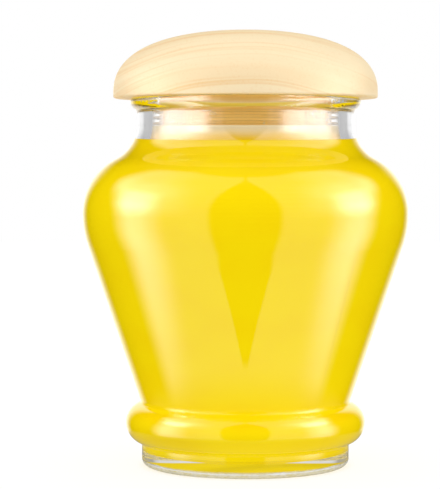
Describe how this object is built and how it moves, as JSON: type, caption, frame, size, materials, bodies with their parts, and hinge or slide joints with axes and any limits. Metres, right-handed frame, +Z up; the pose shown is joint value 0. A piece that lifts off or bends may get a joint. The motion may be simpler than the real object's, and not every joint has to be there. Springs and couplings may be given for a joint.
{
  "type": "filled glass storage jar with a wooden stopper",
  "caption": "Urn-shaped clear glass jar filled with a thick yellow spread and closed by an overhanging turned wooden stopper with a soft ribbed seal.",
  "frame": {"origin": "centre of the foot, on the surface that the jar stands on", "axes": "+Z up along the jar's axis of revolution; X and Y are alike"},
  "size_m": [0.0844, 0.0844, 0.1128],
  "materials": {
    "glass": "clear and smooth",
    "spread": "opaque and smooth, glossy where it meets the glass",
    "wood": "pale, turned and sanded, with a satin varnish",
    "seal": "translucent and soft"
  },
  "bodies": {
    "root": {"jar": "glass", "contents": "spread", "stopper": "wood", "gasket": "seal"}
  },
  "joints": []
}
